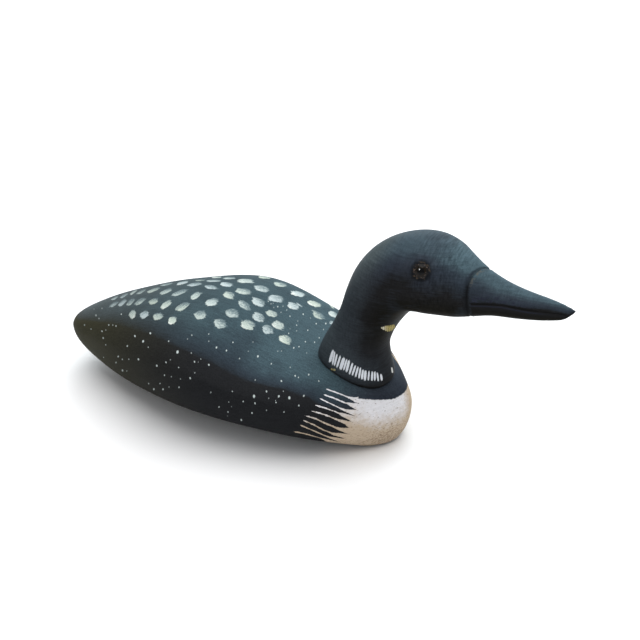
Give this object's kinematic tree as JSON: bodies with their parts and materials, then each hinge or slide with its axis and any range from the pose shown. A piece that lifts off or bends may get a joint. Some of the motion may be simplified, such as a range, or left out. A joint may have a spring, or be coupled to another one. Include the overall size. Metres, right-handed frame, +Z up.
{
  "type": "loon decoy",
  "caption": "Carved and painted wooden loon decoy with a high back, flat underside, upright neck and long bill.",
  "frame": {"origin": "middle of the bottom of the part's box, on the plane of the flat underside", "axes": "+X forward, from tail to bill; +Y to the bird's left; +Z up"},
  "size_m": [0.3844, 0.148, 0.1551],
  "materials": {
    "body_paint": "brushed slate-black satin paint on carved wood, with off-white spots, flecks and breast",
    "head_paint": "brushed blue-black satin paint on carved wood, with fine off-white collar strokes",
    "eye_glass": "glossy dark red-brown glass eye with a black pupil"
  },
  "bodies": {
    "root": {"body": "body_paint", "head": "head_paint", "eye_right": "eye_glass", "eye_left": "eye_glass"}
  },
  "joints": []
}
